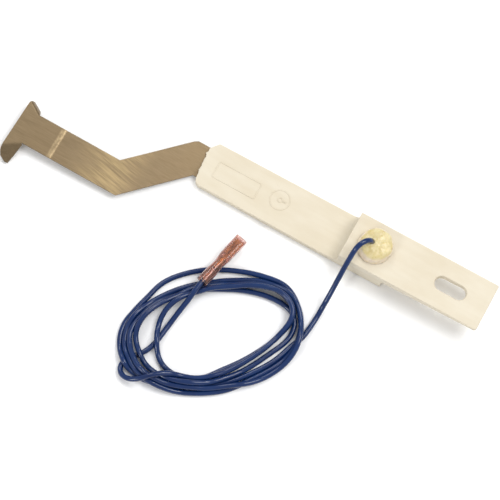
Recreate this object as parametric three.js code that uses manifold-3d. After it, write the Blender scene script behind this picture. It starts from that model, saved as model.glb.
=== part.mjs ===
// Flat-blade flame sensor probe: a stamped steel electrode strip held in a long moulded insulator,
// a slotted mounting plate bonded on its raised block, and a potted blue lead with a crimped terminal.
// Millimetres, +Z up, +X along the insulator towards the slotted end.
import * as THREE from 'three';
import { mergeVertices } from 'three/addons/utils/BufferGeometryUtils.js';
import Module from 'manifold-3d';

const wasm = await Module();
wasm.setup();

// ---- driving dimensions -------------------------------------------------------------------------
const GAP = 0.3; // running gap between neighbouring pieces

const ARM_START = -2.2; // open end of the insulator, where the blade leaves
const ARM_FAR_CORNER = -1.0; // the far side starts here, behind a slanted corner
const MOUTH_FAR = [-3.3, 5.9]; // the open end slants a little, out to this corner
const ARM_THICKNESS = 3.2;
const ARM_HALF_WIDTH_TIP = 9.3;
const ARM_HALF_WIDTH_ROOT = 9.6;
const BLOCK_START = 60.5;
const BLOCK_END = 79.5;
const BLOCK_TOP = 7.0;
const STEP_FILLET = 2.8;

const PLATE_TOP = 12.0;
const PLATE_END = 119.2;
const PLATE_TIP_THICKNESS = 1.9;
const PLATE_HALF_WIDTH_ROOT = 9.7;
const PLATE_HALF_WIDTH_TIP = 9.85;
const SLOT_CENTRE = 103.4;
const SLOT_LENGTH = 13.0;
const SLOT_WIDTH = 5.6;

const WELL_X = 71.0;
const WELL_RADIUS_BLOCK = 4.8;
const WELL_RADIUS_PLATE = 5.6;
const DOME_RADIUS = 6.65;
const DOME_TOP = 17.4;

const BLADE_WIDTH = 13.0;
const BLADE_THICKNESS = 0.8;
const BLADE_MID_Z = 1.8;
const BLADE_JOG = 22.0; // sideways offset of the dogleg, run out at 45 degrees
const BLADE_RISE_START = -4.0; // the free strip climbs gently from here
const BLADE_RISE_SLOPE = 0.043;
const HEAD_INNER_X = -66.8;
const HEAD_OUTER_X = -72.7;
const NEAR_TAB_FOLD = 32; // degrees
const FAR_TAB_FOLD = 65;

const WIRE_RADIUS = 1.05;
const STRAND_RADIUS = 0.65;
const WIRE_EXIT_X = 69.2;

const TERMINAL_LENGTH = 22.6;
const TERMINAL_ENTRY = [20.1, -42.6, 5.9];
const TERMINAL_MOUTH = [25.2, -20.4, 5.9];

// ---- finishes -----------------------------------------------------------------------------------
const finish = {
  insulator: { color: 0xece2cb, roughness: 0.55, metalness: 0.0 },
  steel: { color: 0x9a8a70, roughness: 0.35, metalness: 1.0 },
  epoxy: { color: 0xe3d08a, roughness: 0.2, metalness: 0.0 },
  brass: { color: 0xc9a253, roughness: 0.3, metalness: 1.0 },
  copper: { color: 0xb87b52, roughness: 0.35, metalness: 1.0 },
  pvc: { color: 0x26407a, roughness: 0.35, metalness: 0.0 },
  nylon: { color: 0xd98a6e, roughness: 0.35, metalness: 0.0 },
};

// ---- helpers ------------------------------------------------------------------------------------
const group = new THREE.Group();

function addNode(name, geometry, slot) {
  const material = new THREE.MeshStandardMaterial({ ...finish[slot], name: slot });
  const mesh = new THREE.Mesh(geometry, material);
  mesh.name = name;
  group.add(mesh);
  return mesh;
}

function toSolid(geometry) {
  const plain = geometry.clone();
  plain.deleteAttribute('normal');
  plain.deleteAttribute('uv');
  const merged = mergeVertices(plain, 1e-4);
  const mesh = new wasm.Mesh({
    numProp: 3,
    vertProperties: new Float32Array(merged.attributes.position.array),
    triVerts: new Uint32Array(merged.index.array),
  });
  return new wasm.Manifold(mesh);
}

function toGeometry(solid) {
  const mesh = solid.getMesh();
  const geometry = new THREE.BufferGeometry();
  geometry.setAttribute('position', new THREE.BufferAttribute(new Float32Array(mesh.vertProperties), 3));
  geometry.setIndex(new THREE.BufferAttribute(new Uint32Array(mesh.triVerts), 1));
  geometry.computeVertexNormals();
  return geometry;
}

function polygonShape(points) {
  return new THREE.Shape(points.map(([x, y]) => new THREE.Vector2(x, y)));
}

// Upright prism over a plan outline.
function prism(points, z0, z1) {
  const geometry = new THREE.ExtrudeGeometry(polygonShape(points), { depth: z1 - z0, bevelEnabled: false });
  return geometry.translate(0, 0, z0);
}

// Prism whose outline is drawn in the XZ plane, running across the full width of the part.
function sidePrism(points, halfWidth) {
  const settings = { depth: 2 * halfWidth, bevelEnabled: false };
  const geometry = new THREE.ExtrudeGeometry(polygonShape(points), settings);
  return geometry.rotateX(Math.PI / 2).translate(0, halfWidth, 0);
}

function block(x0, x1, y0, y1, z0, z1) {
  const geometry = new THREE.BoxGeometry(x1 - x0, y1 - y0, z1 - z0);
  return geometry.translate((x0 + x1) / 2, (y0 + y1) / 2, (z0 + z1) / 2);
}

function drum(x, y, z0, z1, radius, sides = 32) {
  const geometry = new THREE.CylinderGeometry(radius, radius, z1 - z0, sides);
  return geometry.rotateX(Math.PI / 2).translate(x, y, (z0 + z1) / 2);
}

function arcPoints(cx, cy, radius, from, to, steps) {
  const points = [];
  for (let i = 0; i <= steps; i += 1) {
    const a = THREE.MathUtils.degToRad(from + ((to - from) * i) / steps);
    points.push([cx + radius * Math.cos(a), cy + radius * Math.sin(a)]);
  }
  return points;
}

function stadium(cx, length, width, steps = 10) {
  const r = width / 2;
  const reach = length / 2 - r;
  return [...arcPoints(cx + reach, 0, r, -90, 90, steps), ...arcPoints(cx - reach, 0, r, 90, 270, steps)];
}

function ringPoints(radius, sides) {
  return arcPoints(0, 0, radius, 0, 360 - 360 / sides, sides - 1);
}

// Round bar along a smooth route.
function tubeAlong(points, radius, spacing, sides = 8) {
  const curve = new THREE.CatmullRomCurve3(points.map((p) => new THREE.Vector3(...p)), false, 'centripetal');
  const steps = Math.max(2, Math.round(curve.getLength() / spacing));
  return new THREE.ExtrudeGeometry(polygonShape(ringPoints(radius, sides)), {
    steps,
    extrudePath: curve,
    bevelEnabled: false,
  });
}

// Hollow sleeve along +X through oval stations [x, outerHalfWidth, outerHalfHeight, innerW, innerH].
function loftSleeve(stations, sides = 24) {
  const positions = [];
  const index = [];
  for (const [x, ow, oh, iw, ih] of stations) {
    for (const [w, h] of [[ow, oh], [iw, ih]]) {
      for (let k = 0; k < sides; k += 1) {
        const a = (2 * Math.PI * k) / sides;
        positions.push(x, w * Math.cos(a), h * Math.sin(a));
      }
    }
  }
  const at = (station, skin, k) => (station * 2 + skin) * sides + (k % sides);
  const quad = (a, b, c, d) => index.push(a, b, c, a, c, d);
  const last = stations.length - 1;
  for (let k = 0; k < sides; k += 1) {
    for (let s = 0; s < last; s += 1) {
      quad(at(s, 0, k), at(s, 0, k + 1), at(s + 1, 0, k + 1), at(s + 1, 0, k));
      quad(at(s, 1, k), at(s + 1, 1, k), at(s + 1, 1, k + 1), at(s, 1, k + 1));
    }
    quad(at(0, 0, k), at(0, 1, k), at(0, 1, k + 1), at(0, 0, k + 1));
    quad(at(last, 0, k), at(last, 0, k + 1), at(last, 1, k + 1), at(last, 1, k));
  }
  const geometry = new THREE.BufferGeometry();
  geometry.setAttribute('position', new THREE.Float32BufferAttribute(positions, 3));
  geometry.setIndex(index);
  geometry.computeVertexNormals();
  return geometry;
}

// ---- insulator: long flat arm with the raised block ---------------------------------------------
function insulatorOutline() {
  return [
    ...arcPoints(ARM_START + 2.6, -ARM_HALF_WIDTH_TIP + 2.6, 2.6, 180, 270, 6),
    [BLOCK_START, -ARM_HALF_WIDTH_ROOT],
    [BLOCK_END, -ARM_HALF_WIDTH_ROOT],
    [BLOCK_END, ARM_HALF_WIDTH_ROOT],
    [BLOCK_START, ARM_HALF_WIDTH_ROOT],
    [ARM_FAR_CORNER, ARM_HALF_WIDTH_TIP],
    MOUTH_FAR,
  ];
}

function insulatorProfile() {
  const x0 = MOUTH_FAR[0] - 1;
  return [
    [x0, 0],
    [BLOCK_END + 1, 0],
    [BLOCK_END + 1, BLOCK_TOP],
    [BLOCK_START, BLOCK_TOP],
    ...arcPoints(BLOCK_START - STEP_FILLET, ARM_THICKNESS + STEP_FILLET, STEP_FILLET, 0, -90, 6),
    [x0, ARM_THICKNESS],
  ];
}

const PANEL = { x0: 2.6, x1: 21.4, y0: -3.9, y1: 3.3, line: 0.45, height: 0.2 };
const RING_MARK = { x: 30.2, y: 1.0, outer: 4.2, line: 0.45, height: 0.2 };

function raisedPanel() {
  const { x0, x1, y0, y1, line, height } = PANEL;
  const outer = toSolid(block(x0, x1, y0, y1, ARM_THICKNESS - 0.3, ARM_THICKNESS + height));
  return outer.subtract(toSolid(block(x0 + line, x1 - line, y0 + line, y1 - line, 0, 10)));
}

function raisedRing() {
  const { x, y, outer, line, height } = RING_MARK;
  const disc = toSolid(drum(x, y, ARM_THICKNESS - 0.3, ARM_THICKNESS + height, outer, 40));
  return disc.subtract(toSolid(drum(x, y, 0, 10, outer - line, 40)));
}

const TAIL_HALF_WIDTH = 4.5;
const TAIL_END = 76.4;
const RIVET_X = 73.2;
const RIVET_HOLE = 1.3;
const PEG = { x: 63.6, y: 6.6, radius: 1.25, top: 9.0 };

function bladePocket() {
  const z0 = BLADE_MID_Z - BLADE_THICKNESS / 2 - GAP;
  const z1 = BLADE_MID_Z + BLADE_THICKNESS / 2 + GAP;
  const mouth = toSolid(block(MOUTH_FAR[0] - 1, 8.3, -BLADE_WIDTH / 2 - GAP, BLADE_WIDTH / 2 + GAP, z0, z1));
  const throat = toSolid(block(0, TAIL_END + GAP, -TAIL_HALF_WIDTH - GAP, TAIL_HALF_WIDTH + GAP, z0, z1));
  const rivetPit = toSolid(drum(RIVET_X, 0, 0.45, z1, 2.3, 20));
  return mouth.add(throat).add(rivetPit);
}

let arm = toSolid(prism(insulatorOutline(), -0.5, BLOCK_TOP + 0.5));
arm = arm.intersect(toSolid(sidePrism(insulatorProfile(), 12)));
arm = arm.add(raisedPanel()).add(raisedRing());
arm = arm.subtract(bladePocket());
arm = arm.subtract(toSolid(drum(WELL_X, 0, BLADE_MID_Z, BLOCK_TOP + 1, WELL_RADIUS_BLOCK, 36)));
for (const side of [-1, 1]) {
  arm = arm.add(toSolid(drum(PEG.x, side * PEG.y, BLOCK_TOP - 1, PEG.top, PEG.radius, 20)));
}
addNode('insulator_arm', toGeometry(arm), 'insulator');

// ---- mounting plate: tapered tongue with the screw slot -----------------------------------------
const PLATE_BOTTOM = BLOCK_TOP + GAP;

function plateOutline() {
  const r = 1.0;
  return [
    [BLOCK_START, -PLATE_HALF_WIDTH_ROOT],
    ...arcPoints(PLATE_END - r, -PLATE_HALF_WIDTH_TIP + r, r, -90, 0, 4),
    [PLATE_END, PLATE_HALF_WIDTH_TIP],
    [BLOCK_START, PLATE_HALF_WIDTH_ROOT],
  ];
}

const plateProfile = [
  [BLOCK_START - 1, PLATE_BOTTOM],
  [BLOCK_END + GAP, PLATE_BOTTOM],
  [PLATE_END, PLATE_TOP - PLATE_TIP_THICKNESS],
  [PLATE_END + 1, PLATE_TOP - PLATE_TIP_THICKNESS],
  [PLATE_END + 1, PLATE_TOP],
  [BLOCK_START - 1, PLATE_TOP],
];

let plate = toSolid(prism(plateOutline(), PLATE_BOTTOM - 1, PLATE_TOP + 1));
plate = plate.intersect(toSolid(sidePrism(plateProfile, 12)));
plate = plate.subtract(toSolid(prism(stadium(SLOT_CENTRE, SLOT_LENGTH, SLOT_WIDTH), 5, PLATE_TOP + 1)));
plate = plate.subtract(toSolid(drum(WELL_X, 0, PLATE_BOTTOM - 1, PLATE_TOP + 1, WELL_RADIUS_PLATE, 36)));
for (const side of [-1, 1]) {
  const hole = drum(PEG.x, side * PEG.y, PLATE_BOTTOM - 1, PEG.top + GAP, PEG.radius + GAP, 20);
  plate = plate.subtract(toSolid(hole));
}
addNode('mounting_plate', toGeometry(plate), 'insulator');

// ---- electrode blade: flat strip, dogleg, T-head with folded tabs -------------------------------
const HALF = BLADE_WIDTH / 2;
const MITRE = BLADE_WIDTH * Math.tan(Math.PI / 8);
const JOG_FAR_X = -9.0; // far edge turns here
const HEAD_FAR_Y = HALF - BLADE_JOG;
const HEAD_NEAR_Y = -HALF - BLADE_JOG;
const FAR_FOLD_END = [HEAD_OUTER_X + 0.6, HEAD_FAR_Y + 3.4];
const NEAR_FOLD_END = [HEAD_OUTER_X, HEAD_NEAR_Y - 4.0];

const bladeOutline = [
  [-4.0 + 0.2, -HALF],
  [7.0, -HALF],
  [8.0, -TAIL_HALF_WIDTH],
  [TAIL_END - 1.0, -TAIL_HALF_WIDTH],
  [TAIL_END, -TAIL_HALF_WIDTH + 1.0],
  [TAIL_END, TAIL_HALF_WIDTH - 1.0],
  [TAIL_END - 1.0, TAIL_HALF_WIDTH],
  [8.0, TAIL_HALF_WIDTH],
  [7.0, HALF],
  [JOG_FAR_X + 0.9, HALF],
  [JOG_FAR_X - 0.7, HALF - 0.8],
  [JOG_FAR_X - BLADE_JOG, HEAD_FAR_Y],
  [HEAD_INNER_X, HEAD_FAR_Y],
  FAR_FOLD_END,
  NEAR_FOLD_END,
  [HEAD_INNER_X, HEAD_NEAR_Y],
  [JOG_FAR_X + MITRE - BLADE_JOG, HEAD_NEAR_Y],
  [JOG_FAR_X + MITRE - 0.2, -HALF - 0.2],
];

function strip() {
  const z0 = BLADE_MID_Z - BLADE_THICKNESS / 2;
  let solid = toSolid(prism(bladeOutline, z0, z0 + BLADE_THICKNESS));
  for (const [x, r] of [[RIVET_X, RIVET_HOLE], [20, 1.6], [44, 1.6]]) {
    solid = solid.subtract(toSolid(drum(x, 0, 0, 5, r, 20)));
  }
  return solid;
}

// Flat tab drawn from a fold line as [along, out] points, folded down about that line.
function foldedTab(from, to, points, degrees) {
  const fold = THREE.MathUtils.degToRad(degrees);
  const along = new THREE.Vector3(to[0] - from[0], to[1] - from[1], 0).normalize();
  const outward = new THREE.Vector3(-along.y, along.x, 0);
  if (outward.y * (from[1] + BLADE_JOG) < 0) outward.negate();
  const down = outward.multiplyScalar(Math.cos(fold)).add(new THREE.Vector3(0, 0, -Math.sin(fold)));
  const settings = { depth: BLADE_THICKNESS, bevelEnabled: false };
  const geometry = new THREE.ExtrudeGeometry(polygonShape(points), settings);
  geometry.translate(0, 0, -BLADE_THICKNESS / 2);
  const across = new THREE.Vector3().crossVectors(along, down);
  geometry.applyMatrix4(new THREE.Matrix4().makeBasis(along, down, across));
  return geometry.translate(from[0], from[1], BLADE_MID_Z);
}

const nearTab = [[0, -0.3], [7.27, -0.3], [8.5, 2.1], [8.6, 4.2], [7.3, 6.8], [6.1, 7.4], [3.4, 4.6]];
const farTab = [[0.2, -0.3], [6.2, -0.3], [5.7, 2.4], [4.2, 3.7], [2.4, 3.2]];
const headNearCorner = [HEAD_INNER_X, HEAD_NEAR_Y];
const headFarCorner = [HEAD_INNER_X, HEAD_FAR_Y];

let blade = strip();
blade = blade.add(toSolid(foldedTab(headNearCorner, NEAR_FOLD_END, nearTab, NEAR_TAB_FOLD)));
blade = blade.add(toSolid(foldedTab(headFarCorner, FAR_FOLD_END, farTab, FAR_TAB_FOLD)));

// The free part climbs in a straight slope from its start, so it is sheared apart from the root.
const OVERLAP = 0.1;
const freeSide = toSolid(block(-90, BLADE_RISE_START + OVERLAP, -60, 30, -20, 20));
const rootSide = toSolid(block(BLADE_RISE_START, 90, -60, 30, -20, 20));
const freeGeometry = toGeometry(blade.intersect(freeSide));
const freePositions = freeGeometry.attributes.position;
for (let i = 0; i < freePositions.count; i += 1) {
  const beyond = BLADE_RISE_START - freePositions.getX(i);
  freePositions.setZ(i, freePositions.getZ(i) + beyond * BLADE_RISE_SLOPE);
}
const bladeGeometry = toGeometry(blade.intersect(rootSide).add(toSolid(freeGeometry)));
addNode('electrode_blade', bladeGeometry, 'steel');

// ---- potting compound: stem through the well and the dome on top --------------------------------
const stemBottom = 4.0;
const pottingProfile = [
  [0, stemBottom],
  [WELL_RADIUS_BLOCK - GAP, stemBottom],
  [WELL_RADIUS_BLOCK - GAP, 7.5],
  [WELL_RADIUS_PLATE - GAP, 7.9],
  [WELL_RADIUS_PLATE - GAP, PLATE_TOP + GAP],
  [DOME_RADIUS, PLATE_TOP + GAP],
  [DOME_RADIUS, PLATE_TOP + 2.4],
  [DOME_RADIUS - 0.45, PLATE_TOP + 3.8],
  [DOME_RADIUS - 1.7, PLATE_TOP + 4.7],
  [DOME_RADIUS - 3.8, DOME_TOP - 0.2],
  [0, DOME_TOP],
];
const pottingLathe = new THREE.LatheGeometry(pottingProfile.map(([r, z]) => new THREE.Vector2(r, z)), 32);
let potting = toSolid(pottingLathe.rotateX(Math.PI / 2).translate(WELL_X, 0, 0));
potting = potting.subtract(toSolid(drum(WIRE_EXIT_X, 0, 0, 6.6, 1.65, 20)));
potting = potting.subtract(toSolid(drum(WIRE_EXIT_X, 0, 5, 20, WIRE_RADIUS + GAP, 20)));
addNode('potting_compound', toGeometry(potting), 'epoxy');

// ---- solder lug, rivet and bared conductor at the foot of the well ------------------------------
const lugTongue = [
  [67.6, -2.3],
  [73.2, -2.3],
  ...arcPoints(73.2, 0, 2.3, -70, 70, 6),
  [73.2, 2.3],
  [67.6, 2.3],
];
let lug = toSolid(prism(lugTongue, 2.5, 3.0));
lug = lug.add(toSolid(drum(WIRE_EXIT_X, 0, 2.8, 6.2, 1.35, 20)));
lug = lug.subtract(toSolid(drum(WIRE_EXIT_X, 0, 3.0, 7, STRAND_RADIUS + GAP, 20)));
lug = lug.subtract(toSolid(drum(RIVET_X, 0, 0, 5, RIVET_HOLE, 20)));
addNode('wire_lug', toGeometry(lug), 'brass');

let rivet = toSolid(drum(RIVET_X, 0, 0.75, 3.7, 1.0, 20));
rivet = rivet.add(toSolid(drum(RIVET_X, 0, 0.75, 1.1, 1.9, 20)));
rivet = rivet.add(toSolid(drum(RIVET_X, 0, 3.3, 3.7, 1.6, 20)));
addNode('lug_rivet', toGeometry(rivet), 'brass');

addNode('conductor_root', drum(WIRE_EXIT_X, 0, 3.3, 6.6, STRAND_RADIUS, 12), 'copper');

// ---- lead: rise from the dome, loose oval coil, tail to the terminal ----------------------------
const COIL = { x: 32.6, y: -56.6, z0: 0.02, z1: 2.9, long: 36.3, short: 25.3, band: 9.0, turn: 42 };

const leadInRoute = [
  [69.2, 0.0, 6.9],
  [69.2, 0.0, 12.0],
  [69.2, 0.0, 16.3],
  [68.8, -0.4, 18.6],
  [67.6, -1.5, 20.3],
  [66.3, -3.5, 20.9],
  [65.5, -5.5, 20.4],
  [65.1, -7.7, 18.7],
  [64.8, -12.2, 14.2],
  [64.7, -17.6, 9.8],
  [64.6, -24.6, 5.0],
  [64.3, -31.0, 2.2],
  [64.2, -35.8, 1.3],
];
addNode('lead_in', tubeAlong(leadInRoute, WIRE_RADIUS, 3.4), 'pvc');

const ringSection = [
  [1 - COIL.band / COIL.long, COIL.z0],
  [1, COIL.z0],
  [1, COIL.z1],
  [1 - COIL.band / COIL.long, COIL.z1],
  [1 - COIL.band / COIL.long, COIL.z0],
];
const coilRing = new THREE.LatheGeometry(ringSection.map(([r, z]) => new THREE.Vector2(r, z)), 48);
coilRing.rotateX(Math.PI / 2);
coilRing.scale(COIL.long, COIL.short, 1);
coilRing.rotateZ(THREE.MathUtils.degToRad(COIL.turn)).translate(COIL.x, COIL.y, 0);
addNode('lead_coil', coilRing, 'pvc');

const leadTailRoute = [
  [15.4, -72.6, 1.2],
  [16.7, -64.7, 1.6],
  [17.4, -59.5, 2.6],
  [18.0, -55.6, 3.7],
  [18.7, -51.5, 4.9],
  [19.3, -47.8, 5.7],
  [19.8, -44.2, 5.9],
];
addNode('lead_tail', tubeAlong(leadTailRoute, WIRE_RADIUS, 2.6), 'pvc');

// ---- crimped terminal, built along +X from its wire entry and then laid on the coil --------------
const sleeveStations = [
  [0.0, 2.4, 2.3, 2.05, 2.05],
  [3.0, 2.35, 2.3, 2.05, 2.05],
  [7.6, 2.1, 2.05, 1.75, 1.75],
  [9.6, 2.0, 1.95, 1.7, 1.7],
  [13.0, 2.4, 2.1, 2.05, 1.8],
  [TERMINAL_LENGTH, 2.5, 2.15, 2.2, 1.85],
];

function layTerminal(geometry) {
  const from = new THREE.Vector3(...TERMINAL_ENTRY);
  const axis = new THREE.Vector3(...TERMINAL_MOUTH).sub(from).normalize();
  const side = new THREE.Vector3(0, 0, 1).cross(axis).normalize();
  const frame = new THREE.Matrix4().makeBasis(axis, side, new THREE.Vector3().crossVectors(axis, side));
  return geometry.applyMatrix4(frame).translate(from.x, from.y, from.z);
}

function rod(x0, x1, radius, sides = 16) {
  const geometry = new THREE.CylinderGeometry(radius, radius, x1 - x0, sides);
  return geometry.rotateZ(Math.PI / 2).translate((x0 + x1) / 2, 0, 0);
}

addNode('terminal_housing', layTerminal(loftSleeve(sleeveStations)), 'nylon');

let grip = toSolid(rod(1.0, 6.4, 1.7));
grip = grip.subtract(toSolid(rod(0, 8, WIRE_RADIUS + GAP)));
addNode('terminal_grip_sleeve', layTerminal(toGeometry(grip)), 'copper');

let receptacle = toSolid(block(14.4, 21.4, -1.75, 1.75, -0.75, 0.75));
receptacle = receptacle.subtract(toSolid(block(14, 22, -1.4, 1.4, -0.45, 0.45)));
receptacle = receptacle.subtract(toSolid(block(14, 22, -0.35, 0.35, 0, 2)));
receptacle = receptacle.add(toSolid(rod(7.2, 12.0, 1.3)));
receptacle = receptacle.add(toSolid(block(11.6, 15.2, -0.9, 0.9, -0.75, -0.45)));
receptacle = receptacle.subtract(toSolid(rod(6.8, 12.4, STRAND_RADIUS + GAP)));
addNode('terminal_receptacle', layTerminal(toGeometry(receptacle)), 'brass');

addNode('conductor_tip', layTerminal(rod(6.8, 11.6, STRAND_RADIUS, 12)), 'copper');

addNode('lead_end', layTerminal(rod(-1.1, 6.5, WIRE_RADIUS, 12)), 'pvc');

// ---- put the footprint centre of the rigid pieces on the origin ----------------------------------
const CORD_NODES = [
  'lead_in', 'lead_coil', 'lead_tail', 'lead_end',
  'terminal_housing', 'terminal_grip_sleeve', 'terminal_receptacle', 'conductor_tip',
];
const footprint = new THREE.Box3();
for (const mesh of group.children) {
  if (!CORD_NODES.includes(mesh.name)) footprint.expandByObject(mesh);
}
const centre = footprint.getCenter(new THREE.Vector3());
for (const mesh of group.children) {
  mesh.geometry.translate(-centre.x, -centre.y, -footprint.min.z);
}

export default group;
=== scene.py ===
"""Looks of a flat-blade flame sensor probe: steel blade, moulded insulator, potted blue lead and terminal.

Lengths are millimetres in the probe's own frame: X along the insulator from its open end, Y across it
(positive on the far side) and Z up. at() turns them into metres in the row frame.
"""

import math

import bmesh
import bpy
import numpy as np
from mathutils import Matrix, Vector, noise


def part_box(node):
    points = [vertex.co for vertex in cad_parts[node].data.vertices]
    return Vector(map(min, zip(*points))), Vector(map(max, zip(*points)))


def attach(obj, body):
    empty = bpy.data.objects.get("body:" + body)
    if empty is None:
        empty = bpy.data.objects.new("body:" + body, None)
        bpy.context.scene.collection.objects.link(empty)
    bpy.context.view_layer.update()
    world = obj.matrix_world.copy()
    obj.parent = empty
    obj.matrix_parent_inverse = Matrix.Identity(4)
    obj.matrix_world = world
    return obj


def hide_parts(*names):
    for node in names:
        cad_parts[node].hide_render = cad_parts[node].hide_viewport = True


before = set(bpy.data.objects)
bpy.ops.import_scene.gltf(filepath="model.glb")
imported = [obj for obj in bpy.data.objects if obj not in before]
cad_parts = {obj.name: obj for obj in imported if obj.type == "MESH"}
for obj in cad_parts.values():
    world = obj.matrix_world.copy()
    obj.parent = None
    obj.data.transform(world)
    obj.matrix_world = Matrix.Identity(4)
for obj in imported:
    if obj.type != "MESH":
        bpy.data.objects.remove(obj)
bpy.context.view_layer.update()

MM = 0.001
PLATE_END = 119.2
plate_low, plate_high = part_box("mounting_plate")
ORIGIN = Vector((plate_high.x - PLATE_END * MM, (plate_low.y + plate_high.y) / 2, 0.0))


def at(x, y, z):
    return ORIGIN + Vector((x, y, z)) * MM


# ---- camera --------------------------------------------------------------------------------------
CAMERA_PLACE = (89.32, -210.13, 739.39)
CAMERA_TILT = 15.0  # degrees off straight down
CAMERA_AZIMUTH = 17.58
CAMERA_ROLL = 11.59
CAMERA_LENS = 144.0


def place_camera():
    tilt, azimuth, roll = (math.radians(a) for a in (CAMERA_TILT, CAMERA_AZIMUTH, CAMERA_ROLL))
    level = Vector((math.cos(azimuth), math.sin(azimuth), 0.0))
    ahead = Vector((-math.sin(azimuth), math.cos(azimuth), 0.0))
    forward = math.sin(tilt) * ahead - math.cos(tilt) * Vector((0, 0, 1))
    upward = math.cos(tilt) * ahead + math.sin(tilt) * Vector((0, 0, 1))
    right = math.cos(roll) * level + math.sin(roll) * upward
    top = math.cos(roll) * upward - math.sin(roll) * level
    data = bpy.data.cameras.new("camera")
    data.lens = CAMERA_LENS
    data.sensor_width = 36.0
    data.clip_start, data.clip_end = 0.05, 10.0
    camera = bpy.data.objects.new("camera", data)
    bpy.context.scene.collection.objects.link(camera)
    turn = Matrix((right, top, -forward)).transposed().to_4x4()
    camera.matrix_world = Matrix.Translation(at(*CAMERA_PLACE)) @ turn
    bpy.context.scene.camera = camera


place_camera()


# ---- node materials ------------------------------------------------------------------------------
CREASE_X = -55.2  # a faint raised crease across the strip, near its head
SCUFF_ZONE = (-50.0, -32.0, -30.0, -18.0)  # where the strip is scuffed brighter, round its sideways step


class Finish:
    """A Principled material with helpers that add procedural detail in object coordinates."""

    def __init__(self, name, **sockets):
        self.material = bpy.data.materials.new(name)
        self.material.use_nodes = True
        self.tree = self.material.node_tree
        self.shader = self.tree.nodes["Principled BSDF"]
        self.place = self.tree.nodes.new("ShaderNodeTexCoord").outputs["Object"]
        for socket, value in sockets.items():
            self.shader.inputs[socket.replace("_", " ")].default_value = value

    def link(self, a, b):
        self.tree.links.new(a, b)
        return b.node

    def node(self, kind, **settings):
        made = self.tree.nodes.new("ShaderNode" + kind)
        for key, value in settings.items():
            setattr(made, key, value)
        return made

    def stretched(self, scale, turn=0.0):
        mapping = self.node("Mapping", vector_type="TEXTURE")
        mapping.inputs["Scale"].default_value = [1 / share for share in scale]
        mapping.inputs["Rotation"].default_value = (0, 0, math.radians(turn))
        self.link(self.place, mapping.inputs["Vector"])
        return mapping.outputs["Vector"]

    def noise(self, per_mm, detail=3.0, rough=0.5, vector=None, distort=0.0):
        made = self.node("TexNoise")
        made.inputs["Scale"].default_value = per_mm * 1000.0
        made.inputs["Detail"].default_value = detail
        made.inputs["Roughness"].default_value = rough
        made.inputs["Distortion"].default_value = distort
        self.link(vector or self.place, made.inputs["Vector"])
        return made.outputs["Fac"]

    def cells(self, per_mm, feature="F1"):
        made = self.node("TexVoronoi", feature=feature)
        made.inputs["Scale"].default_value = per_mm * 1000.0
        self.link(self.place, made.inputs["Vector"])
        return made.outputs["Distance"]

    def ramp(self, value, *stops):
        made = self.node("ValToRGB")
        while len(made.color_ramp.elements) < len(stops):
            made.color_ramp.elements.new(0.5)
        for element, (position, colour) in zip(made.color_ramp.elements, stops):
            element.position = position
            element.color = colour if hasattr(colour, "__len__") else (colour,) * 3 + (1,)
        self.link(value, made.inputs["Fac"])
        return made.outputs["Color"]

    def mix(self, factor, a, b, blend="MIX"):
        made = self.node("Mix", data_type="RGBA", blend_type=blend)
        for socket, value in zip((made.inputs[0], made.inputs[6], made.inputs[7]), (factor, a, b)):
            if isinstance(value, bpy.types.NodeSocket):
                self.link(value, socket)
            else:
                socket.default_value = value
        return made.outputs[2]

    def bump(self, height, strength, depth_mm):
        made = self.node("Bump")
        made.inputs["Strength"].default_value = strength
        made.inputs["Distance"].default_value = depth_mm * MM
        self.link(height, made.inputs["Height"])
        previous = self.shader.inputs["Normal"]
        if previous.links:
            self.link(previous.links[0].from_socket, made.inputs["Normal"])
        self.link(made.outputs["Normal"], previous)

    def band(self, axis, start, end):
        """0 below start and 1 above end, in metres along an axis of the row frame."""
        split = self.node("SeparateXYZ")
        self.link(self.place, split.inputs[0])
        made = self.node("MapRange", interpolation_type="SMOOTHSTEP")
        made.inputs["From Min"].default_value = start
        made.inputs["From Max"].default_value = end
        self.link(split.outputs[axis], made.inputs["Value"])
        return made.outputs["Result"]

    def zone(self, axis, start, full, fade, end):
        """1 from full to fade along an axis of the row frame, and 0 before start and after end."""
        inside = self.band(axis, start, full)
        past = self.band(axis, fade, end)
        return self.mix(past, inside, (0, 0, 0, 1))

    def drive(self, value, socket):
        self.link(value, self.shader.inputs[socket])


def rgb(red, green, blue):
    """A colour from its 8-bit display values."""
    linear = [((c / 255 + 0.055) / 1.055) ** 2.4 if c > 10 else c / 255 / 12.92 for c in (red, green, blue)]
    return (*linear, 1.0)


def insulator_finish():
    made = Finish("cream_moulding", Roughness=0.5, Specular_IOR_Level=0.35)
    base = made.ramp(made.noise(0.035, 3), (0.3, rgb(208, 197, 174)), (0.7, rgb(214, 205, 185)))
    flow = made.noise(0.25, 4, vector=made.stretched((0.25, 1.0, 1.0)))
    base = made.mix(0.35, base, made.ramp(flow, (0.35, rgb(204, 192, 168)), (0.65, rgb(218, 210, 192))))
    specks = made.ramp(made.cells(0.55), (0.0, 1.0), (0.06, 1.0), (0.09, 0.0))
    base = made.mix(made.mix(specks, (0, 0, 0, 1), (0.10, 0.10, 0.10, 1)), base, rgb(150, 130, 98))
    made.drive(base, "Base Color")
    made.drive(made.ramp(made.noise(0.4, 4), (0.3, 0.42), (0.7, 0.6)), "Roughness")
    made.bump(made.noise(1.6, 4, 0.6), 0.25, 0.05)
    made.bump(made.noise(0.12, 2), 0.3, 0.15)
    return made.material


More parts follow.
